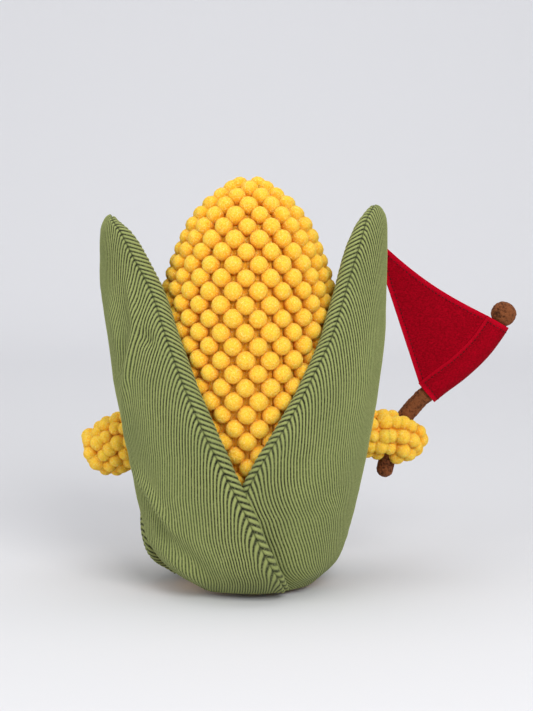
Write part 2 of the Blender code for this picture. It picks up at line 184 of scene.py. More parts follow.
def bilinear(table, i, j):
    """Values of a table (rows, columns, ...) at fractional places i, j."""
    i = np.clip(i, 0, table.shape[0] - 1.000001)
    j = np.clip(j, 0, table.shape[1] - 1.000001)
    i0, j0 = i.astype(int), j.astype(int)
    fi, fj = i - i0, j - j0
    if table.ndim == 3:
        fi, fj = fi[..., None], fj[..., None]
    return ((table[i0, j0] * (1 - fj) + table[i0, j0 + 1] * fj) * (1 - fi)
            + (table[i0 + 1, j0] * (1 - fj) + table[i0 + 1, j0 + 1] * fj) * fi)


def noise(points, size, seed=0):
    """Smooth value noise from -1 to 1 at points (n, 3), with features of the given size."""
    p = points / size + 100.0 + 17.3 * seed
    base = np.floor(p).astype(np.int64)
    f = p - base
    f = f * f * (3 - 2 * f)
    total = np.zeros(len(points))
    for dx in (0, 1):
        for dy in (0, 1):
            for dz in (0, 1):
                key = ((base[:, 0] + dx) * 73856093) ^ ((base[:, 1] + dy) * 19349663) ^ (
                    (base[:, 2] + dz) * 83492791)
                key = (key ^ (key >> 13)) * 1274126177
                value = ((key ^ (key >> 16)) & 0xFFFF) / 32767.5 - 1.0
                weight = (np.where(dx, f[:, 0], 1 - f[:, 0]) * np.where(dy, f[:, 1], 1 - f[:, 1])
                          * np.where(dz, f[:, 2], 1 - f[:, 2]))
                total += value * weight
    return total


def deselect():
    bpy.ops.object.select_all(action="DESELECT")


def activate(piece):
    deselect()
    piece.select_set(True)
    bpy.context.view_layer.objects.active = piece


def apply_modifiers(piece):
    activate(piece)
    for modifier in list(piece.modifiers):
        bpy.ops.object.modifier_apply(modifier=modifier.name)


def set_points(mesh, points):
    mesh.vertices.foreach_set("co", (points * MM).astype(np.float32).ravel())
    mesh.update()


def grid_piece(name, columns, rows, points, uv=None):
    """A grid primitive of columns by rows points, shaped to points (rows, columns, 3)."""
    deselect()
    bpy.ops.mesh.primitive_grid_add(x_subdivisions=columns - 1, y_subdivisions=rows - 1, size=2.0)
    piece = bpy.context.object
    piece.name = name
    set_points(piece.data, points.reshape(-1, 3))
    if uv is not None:
        corners = np.empty(len(piece.data.loops), int)
        piece.data.loops.foreach_get("vertex_index", corners)
        flat = uv.reshape(-1, 2)[corners]
        piece.data.uv_layers[0].data.foreach_set("uv", flat.astype(np.float32).ravel())
    return piece


def close_skin(piece):
    """Merges a shaped grid's seam and poles, and turns its faces outwards."""
    activate(piece)
    bpy.ops.object.mode_set(mode="EDIT")
    bpy.ops.mesh.select_all(action="SELECT")
    bpy.ops.mesh.remove_doubles(threshold=0.00002)
    bpy.ops.mesh.normals_make_consistent(inside=False)
    bpy.ops.object.mode_set(mode="OBJECT")


def mark_painted_shading(piece, values):
    """Stores a value for each point, which the materials read as "top" and turn into painted light
    and shade.
    """
    layer = piece.data.attributes.new("top", "FLOAT", "POINT")
    layer.data.foreach_set("value", np.asarray(values, np.float32).ravel())


def dress(piece, material):
    piece.data.shade_smooth()
    piece.data.materials.clear()
    piece.data.materials.append(material)


def copied_piece(name, model, places, material):
    """Copies of a modelled shape, each with its own mesh and points, joined into one piece."""
    deselect()
    for points in places:
        copy = model.copy()
        copy.data = model.data.copy()
        set_points(copy.data, points)
        bpy.context.scene.collection.objects.link(copy)
        copy.select_set(True)
    bpy.context.view_layer.objects.active = copy
    bpy.ops.object.join()
    bpy.data.objects.remove(model)
    copy.name = copy.data.name = name
    dress(copy, material)
    return copy


def ride(piece, nodes=()):
    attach(piece, BODY)
    if nodes:
        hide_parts(*nodes)


# ---------------------------------------------------------------- shader maths

class Value:
    """A shader socket that takes part in arithmetic."""

    def __init__(self, graph, socket):
        self.graph, self.socket = graph, socket

    def math(self, operation, *others):
        return self.graph.node("ShaderNodeMath", {"operation": operation},
                               dict(enumerate((self, *others))))

    def __add__(self, other):
        return self.math("ADD", other)

    def __sub__(self, other):
        return self.math("SUBTRACT", other)

    def __rsub__(self, other):
        return self.graph.node("ShaderNodeMath", {"operation": "SUBTRACT"}, {0: other, 1: self})

    def __mul__(self, other):
        return self.math("MULTIPLY", other)

    def __truediv__(self, other):
        return self.math("DIVIDE", other)

    def __pow__(self, other):
        return self.math("POWER", other)


class Graph:
    """A material's node tree with its Principled shader."""

    def __init__(self, name, roughness=0.9, **constants):
        self.material = bpy.data.materials.new(name)
        self.material.use_nodes = True
        self.tree = self.material.node_tree
        self.shader = self.tree.nodes["Principled BSDF"]
        self.shader.inputs["Roughness"].default_value = roughness
        for socket, value in constants.items():
            self.shader.inputs[socket.replace("_", " ")].default_value = value

    def put(self, socket, value):
        if isinstance(value, Value):
            self.tree.links.new(value.socket, socket)
        else:
            socket.default_value = value

    def node(self, kind, settings=None, inputs=None, output=0):
        node = self.tree.nodes.new(kind)
        for key, value in (settings or {}).items():
            setattr(node, key, value)
        for key, value in (inputs or {}).items():
            self.put(node.inputs[key], value)
        return Value(self, node.outputs[output])

    def place(self):
        return self.node("ShaderNodeTexCoord", output="Object")

    def uv(self):
        return self.node("ShaderNodeUVMap", {"uv_map": "UVMap"})

    def axis(self, vector, name):
        return self.node("ShaderNodeSeparateXYZ", inputs={0: vector}, output=name)

    def attribute(self, name):
        return self.node("ShaderNodeAttribute", {"attribute_name": name}, output="Fac")

    def noise(self, vector, scale, detail=2.0, roughness=0.5):
        return self.node("ShaderNodeTexNoise", inputs={
            "Vector": vector, "Scale": scale, "Detail": detail, "Roughness": roughness})

    def stretch(self, vector, scale):
        return self.node("ShaderNodeMapping", inputs={"Vector": vector, "Scale": scale})

    def between(self, value, low, high):
        """0 below low, 1 above high, smooth between."""
        return self.node("ShaderNodeMapRange", {"interpolation_type": "SMOOTHSTEP"},
                         {"Value": value, "From Min": low, "From Max": high})

    def mix(self, factor, first, second):
        mixed = self.node("ShaderNodeMix", {"data_type": "RGBA"}, {0: factor}, output=2)
        node = mixed.socket.node
        self.put(node.inputs[6], first)
        self.put(node.inputs[7], second)
        return mixed

    def bump(self, height, distance, strength=1.0):
        return self.node("ShaderNodeBump", inputs={
            "Height": height, "Distance": distance, "Strength": strength})

    def finish(self, colour, normal=None):
        self.put(self.shader.inputs["Base Color"], colour)
        if normal:
            self.put(self.shader.inputs["Normal"], normal)
        return self.material


def rgb(red, green, blue):
    """A screen colour from 0 to 255 as the linear colour that shaders take."""
    def linear(c):
        c /= 255.0
        return c / 12.92 if c <= 0.04045 else ((c + 0.055) / 1.055) ** 2.4
    return (linear(red), linear(green), linear(blue), 1.0)


def corduroy():
    """Ribs run along the UV map: u counts them and v is the distance from the seam in mm. Shade is
    painted into the rib valleys and along the seam.
    """
    g = Graph("green_corduroy", 0.85, Sheen_Weight=0.25, Sheen_Roughness=0.5,
              Specular_IOR_Level=0.25)
    g.shader.inputs["Sheen Tint"].default_value = rgb(200, 210, 150)
    uv, place = g.uv(), g.place()
    share = g.axis(uv, "X").math("FRACT")
    crest = 1.0 - ((share - 0.5).math("ABSOLUTE") * 2.0) ** 2.2
    nap = g.noise(place, 2600.0, 2.0, 0.6)
    fleck = g.noise(place, 900.0, 3.0, 0.6)
    broad = g.noise(place, 45.0, 3.0, 0.5)
    height = g.between(crest + (nap - 0.5) * 0.45, 0.38, 1.10)
    # Painted shade: the valleys between the ribs are nearly black, less dark far from the seam where
    # the ribs are worn flat.
    valley_shade = g.mix(g.between(g.axis(uv, "Y"), 16.0, 34.0), rgb(11, 15, 2), rgb(50, 60, 26))
    pile = g.mix(height, valley_shade, rgb(142, 150, 88))
    pile = g.mix(g.between(fleck, 0.40, 0.75) * 0.40, pile, rgb(148, 152, 100))
    pile = g.mix(g.between(broad, 0.35, 0.75) * 0.22, pile, rgb(94, 104, 60))
    # Painted shade: a dark line in the groove along the seam.
    pile = g.mix(g.between(g.axis(uv, "Y"), -0.4, 0.7), rgb(30, 38, 14), pile)
    normal = g.bump(crest * 0.5 + nap * 0.35 + fleck * 0.2, 0.0004, 0.6)
    return g.finish(pile, normal)


def flat_corduroy():
    """Corduroy for a flat panel, whose ribs run along Y."""
    g = Graph("base_corduroy", 0.85, Sheen_Weight=0.25, Specular_IOR_Level=0.25)
    place = g.place()
    share = (g.axis(place, "X") / (WALE * MM)).math("FRACT")
    crest = 1.0 - ((share - 0.5).math("ABSOLUTE") * 2.0) ** 2.2
    nap = g.noise(place, 2600.0, 2.0, 0.6)
    # Painted shade: the darker green fills the valleys between the ribs.
    pile = g.mix(g.between(crest + (nap - 0.5) * 0.35, 0.02, 0.95), rgb(66, 82, 38),
                 rgb(140, 153, 92))
    return g.finish(pile, g.bump(crest + nap * 0.3, 0.0006, 0.9))


def bobble_fleece(name, light):
    """Fuzzy yellow pile, with painted light at a bobble's top and painted shade, deeper orange, down
    its sides.
    """
    g = Graph(name, 0.9, Sheen_Weight=0.14, Sheen_Roughness=0.45, Specular_IOR_Level=0.12,
              Subsurface_Weight=0.3)
    g.shader.inputs["Sheen Tint"].default_value = rgb(255, 225, 150)
    g.shader.inputs["Subsurface Radius"].default_value = (1.0, 0.45, 0.1)
    g.shader.inputs["Subsurface Scale"].default_value = 0.003
    place = g.place()
    # light raises the painted light of the whole material, for a lighter copy of it.
    top = g.attribute("top") + light
    curl = g.noise(place, 800.0, 4.0, 0.7)
    tuft = g.noise(place, 1300.0, 3.0, 0.7)
    # Painted shade: deeper orange down a bobble's sides.
    shaded_sides = g.mix(g.between(top + (curl - 0.5) * 0.3, -0.05, 0.55), rgb(255, 150, 20),
                 rgb(255, 174, 28))
    # Painted light: lighter yellow towards a bobble's top.
    body = g.mix(g.between(top + (curl - 0.5) * 0.5, 0.40, 1.05), shaded_sides, rgb(255, 203, 60))
    # Painted highlight on the raised fibre tufts, and painted shade in the hollows of the curl.
    fibres = g.mix(g.between(tuft, 0.50, 0.68) * 0.80, body, rgb(255, 231, 142))
    fibres = g.mix(g.between(curl, 0.52, 0.34) * 0.45, fibres, rgb(232, 148, 22))
    normal = g.bump(curl * 0.9 + tuft * 0.7, 0.0011, 1.0)
    return g.finish(fibres, normal)


def felt():
    g = Graph("red_felt", 0.95, Sheen_Weight=0.06, Sheen_Roughness=0.5, Specular_IOR_Level=0.06)
    g.shader.inputs["Sheen Tint"].default_value = rgb(230, 60, 80)
    place = g.place()
    fibre = g.noise(g.stretch(place, (900.0, 900.0, 1500.0)), 1.0, 4.0, 0.7)
    cloud = g.noise(place, 160.0, 3.0, 0.6)
    colour = g.mix(g.between(fibre, 0.3, 0.75), rgb(114, 0, 12), rgb(164, 0, 25))
    colour = g.mix(g.between(cloud, 0.35, 0.7) * 0.3, colour, rgb(128, 0, 14))
    # Painted highlight: brighter red along the cut edges.
    colour = g.mix(g.between(g.attribute("top") + (fibre - 0.5) * 0.6, 0.1, 1.0) * 0.5, colour,
                   rgb(200, 4, 36))
    return g.finish(colour, g.bump(fibre + cloud * 0.5, 0.0005, 0.6))


def brown_plush():
    g = Graph("brown_plush", 0.95, Sheen_Weight=0.3, Sheen_Roughness=0.4, Specular_IOR_Level=0.15)
    g.shader.inputs["Sheen Tint"].default_value = rgb(190, 130, 95)
    place = g.place()
    fur = g.noise(place, 750.0, 4.0, 0.65)
    strand = g.noise(place, 2400.0, 2.0, 0.6)
    lift = g.attribute("top")
    # Painted shade: dark brown in the creases between the fur's clumps and in the hollows of its
    # bump.
    colour = g.mix(g.between(fur + (lift - 0.5) * 0.5, 0.30, 0.72), rgb(50, 20, 6),
                   rgb(118, 67, 37))
    # Painted highlight on the raised strands.
    colour = g.mix(g.between(strand, 0.5, 0.72) * 0.42, colour, rgb(160, 104, 68))
    return g.finish(colour, g.bump(fur * 0.8 + strand * 0.4, 0.0008, 0.9))


def plain(name, colour, roughness=0.9):
    g = Graph(name, roughness, Specular_IOR_Level=0.2)
    place = g.place()
    speck = g.noise(place, 900.0, 3.0, 0.6)
    return g.finish(g.mix(speck * 0.35, colour, tuple(c * 0.7 for c in colour[:3]) + (1.0,)),
                    g.bump(speck, 0.0004, 0.6))


# ---------------------------------------------------------------- leaves

def leaf_middle(leaf, across, along):
    """Points of a leaf's middle surface; across is 0 at the rear rim and 1 at the front seam."""
    height, rear, rear_r, belly_r, front, front_r, _ = through(leaf["rows"], along).T
    angle = rear + (front - rear) * across
    radius = (rear_r * (1 - across) * (1 - 2 * across) + belly_r * 4 * across * (1 - across)
              + front_r * across * (2 * across - 1))
    around = np.radians(leaf["reference"] + leaf["turn"] * angle)
    return np.stack([radius * np.cos(around), radius * np.sin(around), height], -1)


def leaf_sections(leaf):
    """The padded leaf as two tables of points (along, across, 3): its outer and inner sides.

    Both start at the front seam.  The inner side first turns over the front rim.
    """
    along = np.linspace(0.0, 1.0, TABLE_RIBS)
    across = np.linspace(0.0, 1.25, 151)
    middle = np.stack([leaf_middle(leaf, across_i, along) for across_i in across], 1)
    normal = unit(np.cross(np.gradient(middle, axis=1), np.gradient(middle, axis=0)))
    normal = normal * np.sign((normal[..., :2] * middle[..., :2]).sum(-1, keepdims=True))
    full = through(leaf["rows"], along)[:, 6]
    height = middle[:, 0, 2]
    top = height[-1]
    lead = np.interp(height, *zip(*leaf["lead"]))
    roll = np.interp(height, *zip(*leaf["roll"]))
    ease = (1 - np.cos(np.pi * np.linspace(0, 1, 181))) / 2
    outer, inner = [], []
    for k in range(TABLE_RIBS):
        run = run_along(middle[k])
        rim_run = np.interp(1.0, across, run)
        cap = math.sqrt(max(1 - max((height[k] - (top - TIP)) / TIP, 0.0) ** 2, 0.0025))
        foot = math.sqrt(max(1 - max((FOOT - height[k]) / FOOT, 0.0) ** 2, 0.06))
        low, high = -lead[k] - roll[k], rim_run
        centre, half = (low + high) / 2, (high - low) / 2 * cap
        low, high = centre - half, centre + half
        pad = full[k] * cap * foot
        rim = min(pad * 1.15, half)

        def surface(e, side):
            x_front = np.clip((e - low) / rim, 0, 1)
            x_rear = np.clip((high - e) / (rim * 1.3), 0, 1)
            lift = pad * np.sqrt(1 - (1 - x_front) ** 2) * np.sqrt(1 - (1 - x_rear) ** 2)
            spot = np.clip(rim_run - e, 0, run[-1])
            point = np.stack([np.interp(spot, run, middle[k, :, c]) for c in range(3)], -1)
            away = unit(np.stack([np.interp(spot, run, normal[k, :, c]) for c in range(3)], -1))
            return point + away * (side * lift)[:, None]

        seam = low + roll[k] * cap
        outer.append(evenly(surface(seam + (high - seam) * ease, 1)))
        turned = surface(seam + (low - seam) * ease, 1)
        inner.append(evenly(np.concatenate([turned, surface(low + (high - low) * ease, -1)[1:]])))
    return rise_at_foot(np.array(outer)), rise_at_foot(np.array(inner))


def rise_at_foot(points):
    """Lifts a leaf's foot where it bulges out past the toy's base."""
    radius = np.hypot(points[..., 0], points[..., 1])
    points[..., 2] += FOOT_RISE * smooth_step((radius - 28.0) / 20.0) * (
        1 - smooth_step(points[..., 2] / 24.0))
    return points


def evenly(points):
    """The same line with its points at equal distances."""
    run = run_along(points)
    want = np.linspace(0.0, run[-1], TABLE_SIDE)
    return np.stack([np.interp(want, run, points[:, c]) for c in range(3)], -1)


def rib_phase(leaf, table, side):
    """How many ribs lie between the foot of the seam and each point of a panel's table.

    Ribs meet the seam at a fixed pitch.  On the outer side they soon swing to their free run;
    on the turned-over rim they keep one angle to the seam.
    """
    seam = table[:, 0]
    run = run_along(seam)
    pitch, free = through_heights(leaf["ribs"], seam[:, 2])
    along = np.concatenate([[0.0], np.cumsum((1 / pitch[1:] + 1 / pitch[:-1]) / 2 * np.diff(run))])
    steps = np.linalg.norm(np.diff(table, axis=1), axis=2)
    out = np.concatenate([np.zeros((len(table), 1)), np.cumsum(steps, axis=1)], axis=1)
    pitch, free = pitch[:, None], free[:, None]
    upwards = unit(np.gradient(seam, axis=0))
    sideways = unit(table[:, 3] - table[:, 0])
    lean = np.degrees(np.arcsin(np.clip((upwards * sideways).sum(-1), -0.9, 0.9)))
    lean = np.convolve(np.pad(lean, 8, mode="edge"), np.ones(17) / 17, "valid")[:, None]
    if side > 0:
        angle = free + (SEAM_ANGLE - free) * np.exp(-(out / SETTLE) ** 2)
    else:
        angle = np.full(out.shape, RIM_ANGLE)
    slope = np.cos(np.radians(angle - lean)) / (pitch * np.sin(np.radians(angle)))
    slope = slope + (1 / WALE - slope) * smooth_step((out - 18.0) / 34.0)
    ribs = np.cumsum((slope[:, 1:] + slope[:, :-1]) / 2 * steps, axis=1)
    return along[:, None] + np.concatenate([np.zeros((len(table), 1)), ribs], axis=1), out


def through_heights(rows, height):
    rows = np.array(rows, float)
    return [np.interp(height, rows[:, 0], rows[:, c]) for c in range(1, rows.shape[1])]


def rib_columns(phase, table):
    """For each mesh column, one line of constant phase: its places in the panel's table."""
    seam, rear = phase[:, 0], phase[:, -1]
    peak = int(np.argmax(rear))
    count = int(np.floor((rear.max() - 0.05) * WALE_STEPS))
    wanted = (np.arange(count) + 0.5) / WALE_STEPS
    rows = np.arange(len(seam))
    rising = np.maximum.accumulate(rear[:peak + 1])
    ease = np.linspace(0.0, 1.0, 130) ** 1.5
    columns = []
    for value in wanted:
        if value <= seam[-1]:
            high = np.interp(value, seam, rows)
        else:
            high = peak + np.interp(-value, -rear[peak:], rows[peak:] - peak)
        low = 0.0 if value <= rear[0] else np.interp(value, rising, rows[:peak + 1])
        along = high + (low - high) * ease
        i0 = np.minimum(along.astype(int), len(rows) - 2)
        f = (along - i0)[:, None]
        lines = phase[i0] * (1 - f) + phase[i0 + 1] * f
        over = (lines < value).sum(1).clip(1, phase.shape[1] - 1)
        pick = np.arange(len(lines))
        before, after = lines[pick, over - 1], lines[pick, over]
        across = over - 1 + np.clip((value - before) / np.maximum(after - before, 1e-9), 0, 1)
        spots = bilinear(table, along, across)
        run = run_along(spots)
        want = rib_rows(run[-1])
        columns.append(np.stack([np.interp(want, run, along), np.interp(want, run, across)], -1))
    return wanted, np.array(columns)


def rib_rows(length):
    """Distances along a rib: close together at both ends, where the seams are."""
    ends = np.array([0.0, 0.4, 0.9, 1.5, 2.4, 3.6]) * min(1.0, length / 12.0)
    middle = np.linspace(ends[-1], length - ends[-1], RIB_ROWS - 10)
    return np.concatenate([ends[:-1], middle, (length - ends[:-1])[::-1]])


def fold_offset(points, folds):
    """Soft creases: each is a line from one point to another, with a width and a height."""
    total = np.zeros(len(points))
    for start, end, width, height in folds:
        a, b = np.array(start, float), np.array(end, float)
        run = b - a
        share = np.clip(((points[:, [0, 2]] - a) @ run) / (run @ run), 0, 1)
        gap = points[:, [0, 2]] - (a + share[:, None] * run)
        fade = np.sin(np.pi * np.clip(share * 0.8 + 0.1, 0, 1))
        total += height * fade * np.exp(-(gap ** 2).sum(1) / width ** 2)
    return total


def panel_piece(name, leaf, table, side, material):
    """One corduroy panel of a leaf, with its ribs in the mesh."""
    phase, out = rib_phase(leaf, table, side)
    values, columns = rib_columns(phase, table)
    i, j = columns[..., 0], columns[..., 1]
    points = bilinear(table, i, j)
    normal = unit(np.cross(np.gradient(table, axis=1), np.gradient(table, axis=0)))
    outwards = leaf_side(table, normal, side)
    normal = unit(bilinear(normal * outwards, i, j))
    distance = bilinear(out, i, j)
    width = np.interp(i, np.arange(len(out)), out[:, -1])
    share = (values % 1.0)[:, None]
    crest = np.sqrt(np.clip(1 - np.abs(2 * share - 1) ** 2.2, 0, 1))
    edge = np.minimum(distance, np.maximum(width - distance, 0))
    ends = 1 - np.exp(-(edge / 0.8) ** 2)
    foot = smooth_step(points[..., 2] / 3.0)
    worn = 1 - WORN_SHARE * smooth_step((distance - WORN_FROM) / WORN_OVER)
    lift = WALE_HEIGHT * (crest - 0.5) * (0.35 + 0.65 * ends) * (0.4 + 0.6 * foot) * worn
    lift = lift - SEAM_DEPTH * np.exp(-(edge / 0.9) ** 2)
    flat = points.reshape(-1, 3)
    wobble = 0.35 * noise(flat, 14.0, 3) + 0.10 * noise(flat, 4.0, 5)
    if side > 0:
        wobble = wobble + fold_offset(flat, leaf["folds"])
    wobble = wobble.reshape(edge.shape) * smooth_step(edge / 5.0)
    points = points + normal * (lift + wobble)[..., None]
    uv = np.stack([np.broadcast_to(values[:, None], edge.shape), distance], -1)
    points, uv = np.swapaxes(points, 0, 1), np.swapaxes(uv, 0, 1)
    piece = grid_piece(name, len(values), RIB_ROWS, points, uv)
    face_out(piece, np.swapaxes(normal, 0, 1))
    wall = piece.modifiers.new("Cloth", "SOLIDIFY")
    wall.thickness = CLOTH * MM
    wall.offset = -1.0
    apply_modifiers(piece)
    dress(piece, material)
    return piece


def leaf_side(table, normal, side):
    """+1 or -1 so that the panel's normals point out of the padded leaf."""
    middle = table.shape[1] // 2
    spot = table[TABLE_RIBS // 2, middle]
    outwards = normal[TABLE_RIBS // 2, middle, :2] @ spot[:2]
    return math.copysign(1.0, outwards) * side


def face_out(piece, normal):
    """Turns the faces when they look against the wanted normals."""
    mesh = piece.data
    spot = len(mesh.polygons) // 2
    face = mesh.polygons[spot]
    want = normal.reshape(-1, 3)[face.vertices[0]]
    if Vector(want).dot(face.normal) < 0:
        mesh.flip_normals()


# For each leaf: lead is how far its seam lies beyond the front rim, and roll how far the padded
# edge reaches beyond the seam, by height.  Ribs: height, pitch along the seam, free angle to it.
LEAVES = {
    "left_leaf": {
        "rows": LEFT_ROWS, "reference": -90.0, "turn": -1.0,
        "lead": [(0, 3.0), (8, 4.6), (15, 6.6), (26, 7.8), (37, 6.6), (58, 5.3), (79, 5.4), (99, 4.0),
                 (120, 3.1), (150, 2.6), (180, 3.4), (200, 4.5), (206, 4.0)],
        "roll": [(0, 1.4), (15, 2.0), (27, 3.6), (54, 4.6), (80, 5.6), (110, 6.0), (140, 6.2),
                 (165, 6.0), (190, 4.8), (203, 2.4)],
        "ribs": [(0, 5.2, 15), (10, 5.2, 15), (20, 5.2, 16), (37, 4.9, 20), (58, 4.2, 25),
                 (79, 3.8, 26), (99, 3.4, 30), (120, 3.2, 37), (140, 3.0, 36), (160, 2.9, 35),
                 (205, 2.7, 40)],
        "folds": [
            ((-64, 171), (-60, 144), 2.4, 2.6), ((-60, 146), (-67, 110), 2.4, 3.0),
            ((-67, 113), (-65, 76), 2.6, 2.2), ((-50, 137), (-58, 144), 3.2, -3.0),
            ((-75, 160), (-71, 133), 2.8, 2.0), ((-66, 140), (-70, 120), 2.6, -2.2),
            ((-64, 71), (-40, 38), 2.6, 3.4),
            ((-60, 60), (-44, 34), 3.6, -3.2), ((-54, 32), (-20, 8), 3.0, 3.0),
            ((-50, 40), (-20, 16), 4.5, -1.8),
        ],
    },
    "right_leaf": {
        "rows": RIGHT_ROWS, "reference": -90.0, "turn": 1.0,
        "lead": [(0, 3.0), (47, 3.0), (58, 5.6), (69, 7.4), (79, 8.0), (99, 7.0), (120, 6.0),
                 (140, 4.0), (160, 3.8), (182, 4.4), (200, 4.6), (211, 4.0)],
        "roll": [(0, 2.6), (40, 2.6), (58, 3.2), (80, 3.4), (99, 3.2), (120, 3.6), (140, 4.2),
                 (160, 4.4), (190, 4.6), (207, 2.4)],
        "ribs": [(0, 4.4, 27), (30, 4.3, 27), (60, 4.0, 27), (80, 3.7, 27), (99, 3.4, 30),
                 (120, 3.2, 35), (140, 3.0, 36), (160, 2.9, 37), (210, 2.7, 42)],
        "folds": [
            ((45, 60), (28, 45), 5.0, -1.2), ((55, 75), (40, 60), 5.0, 0.8),
            ((40, 14), (22, 8), 3.0, 1.2), ((66, 130), (60, 100), 5.0, 0.9),
        ],
    },
    "back_leaf": {
        "rows": BACK_ROWS, "reference": 90.0, "turn": 1.0,
        "lead": [(0, 0.0), (200, 0.0)],
        "roll": [(0, 2.5), (190, 2.5), (200, 1.0)],
        "ribs": [(0, 3.4, 30), (60, 3.2, 30), (110, 3.2, 34), (160, 2.8, 36), (200, 2.6, 45)],
        "folds": [((0, 60), (10, 110), 6.0, 1.0), ((-20, 30), (-5, 60), 5.0, -1.2),
                  ((25, 60), (12, 95), 5.0, -1.0)],
    },
}


def build_leaves():
    cloth = corduroy()
    for name, leaf in LEAVES.items():
        outer, inner = leaf_sections(leaf)
        front = panel_piece(f"{name}_outer_cloth", leaf, outer, 1, cloth)
        back = panel_piece(f"{name}_inner_cloth", leaf, inner, -1, cloth)
        ride(front, [f"{name}_outer_panel", f"{name}_wadding"])
        ride(back, [f"{name}_inner_panel"])


# ---------------------------------------------------------------- bobbles

def bobble_field(name, spots, normals, radii, reach, material):
    """All bobbles of one piece: one modelled bobble, copied to every spot.

    The bobble is a ball cut off at reach below its middle, as a share of its radius.
    """
    deselect()
    bpy.ops.mesh.primitive_uv_sphere_add(segments=12, ring_count=7, radius=1.0, calc_uvs=False)
    ball = bpy.context.object
    bpy.ops.object.mode_set(mode="EDIT")
    bpy.ops.mesh.select_all(action="SELECT")
    bpy.ops.mesh.bisect(plane_co=(0, 0, -reach), plane_no=(0, 0, 1), clear_inner=True, use_fill=False)
    bpy.ops.object.mode_set(mode="OBJECT")
    base = np.array([v.co for v in ball.data.vertices])
    # 1 at the bobble's outer tip, falling towards its cut foot: the fleece paints light at the tip
    # and shade down the sides.
    mark_painted_shading(ball, np.clip(base[:, 2] * 0.5 + 0.5, 0, 1))
    places = []
    for k, (spot, normal, radius) in enumerate(zip(spots, normals, radii)):
        turn = Vector(normal).to_track_quat("Z", "Y").to_matrix() @ Matrix.Rotation(k * 2.4, 3, "Z")
        placed = base * radius @ np.array(turn).T + spot
        lumps = noise(placed, radius * 0.7, k % 7) * 0.04 * radius
        places.append(placed + unit(placed - spot) * lumps[:, None])
    return copied_piece(name, ball, places, material)


def cob_curve(depth):
    """The cob's outline at a depth under the bobbles' tops: run, height, radius and normal."""
    line = through(COB_PROFILE, np.linspace(0, 1, 600))
    ahead = unit(np.gradient(line, axis=0))
    normal = np.stack([ahead[:, 1], -ahead[:, 0]], -1)
    normal[0] = (1.0, 0.0)
    inside = line - normal * depth
    inside[:, 1] = np.maximum(inside[:, 1], 0.0)
    run = run_along(inside)
    return run, inside, normal


def cob_spots():
    """Bobbles lie on a diagonal lattice on two half skins, front and back, sewn at the sides."""
    run, line, normal = cob_curve(BOBBLE - BULGE)
    spots, normals = [], []

    def add(s, around):
        height, radius = (np.interp(s, run, line[:, c]) for c in (0, 1))
        up, out = (np.interp(s, run, normal[:, c]) for c in (0, 1))
        direction = np.array([math.cos(around), math.sin(around)])
        spots.append(np.array([*(radius * direction), height]))
        normals.append(unit(np.array([*(out * direction), up])))

    for facing in (-math.pi / 2, math.pi / 2):
        row = 0
        s = CROWN_START
        while s < run[-1] - 2.0:
            radius = float(np.interp(s, run, line[:, 1]))
            lean = LATTICE_LEAN * math.sin(math.pi * min(s / 190.0, 1.0)) + LATTICE_SHIFT
            placed = []
            for step in range(-9, 10):
                aside = (step + 0.5 * (row % 2)) * BOBBLE_ACROSS + lean
                angle = aside / max(radius, 1.0)
                if abs(angle) < math.pi / 2 - SIDE_MARGIN / max(radius, 5.0):
                    add(s + rng.normal(0, 0.12), facing + angle + rng.normal(0, 0.12) / radius)
                    placed.append(angle)
            for side, last in ((-1, min(placed)), (1, max(placed))):
                if facing < 0 and (math.pi / 2 - abs(last)) * radius > SIDE_GAP:
                    add(s, facing + side * (math.pi / 2 - 1.0 / radius))
            row += 1
            s += BOBBLE_ROW
    for s, around in CROWN:
        add(s, math.radians(around))
        spots[-1][2] += CROWN_LIFT
    return np.array(spots), np.array(normals)



def turned_skin(name, run_points, columns, material, top, ribs=0, rib_height=0.0):
    """A closed skin turned round Z from (height, radius) pairs; top is the level of painted light
    that its material gives it.
    """
    rows = len(run_points)
    around = np.linspace(0, 2 * np.pi, columns)
    height, radius = run_points[:, 0][:, None], run_points[:, 1][:, None]
    swell = radius + rib_height * np.cos(ribs * around)[None, :] * (radius > 8)
    points = np.stack([swell * np.cos(around), swell * np.sin(around),
                       np.broadcast_to(height, swell.shape)], -1)
    piece = grid_piece(name, columns, rows, points)
    close_skin(piece)
    mark_painted_shading(piece, np.full(len(piece.data.vertices), top))
    dress(piece, material)
    return piece


def build_cob(fleece):
    spots, normals = cob_spots()
    radii = BOBBLE * rng.normal(1.0, 0.025, len(spots))
    field = bobble_field("cob_bobbles", spots, normals, radii, 0.56, fleece)
    _, line, _ = cob_curve(BOBBLE + BACKING)
    line = line[::8]
    foot = line[-1, 1]
    line = np.vstack([[line[0, 0], 0.0], line[1:], [2.2, foot + 3.0], [2.2, 0.0]])
    # 0.62 is the painted light level of the fleece between the cob's bobbles.
    skin = turned_skin("cob_backing", line, 385, fleece, 0.62, 92, 0.42)
    ride(field, ["cob_cover"])
    ride(skin)


def arm_curve(arm, inset):
    length = float(np.linalg.norm(np.subtract(arm["hand"], arm["root"])))
    root, hand = (radius - inset for radius in arm["radii"])
    turn = np.linspace(0, np.pi / 2, 24)
    cap = np.stack([length + hand * np.cos(turn), hand * np.sin(turn)], -1)
    share = np.linspace(1.0, 0.0, 30)[1:]
    side = np.stack([length * share, root + (hand - root) * smooth_step(share)], -1)
    return np.vstack([cap, side])


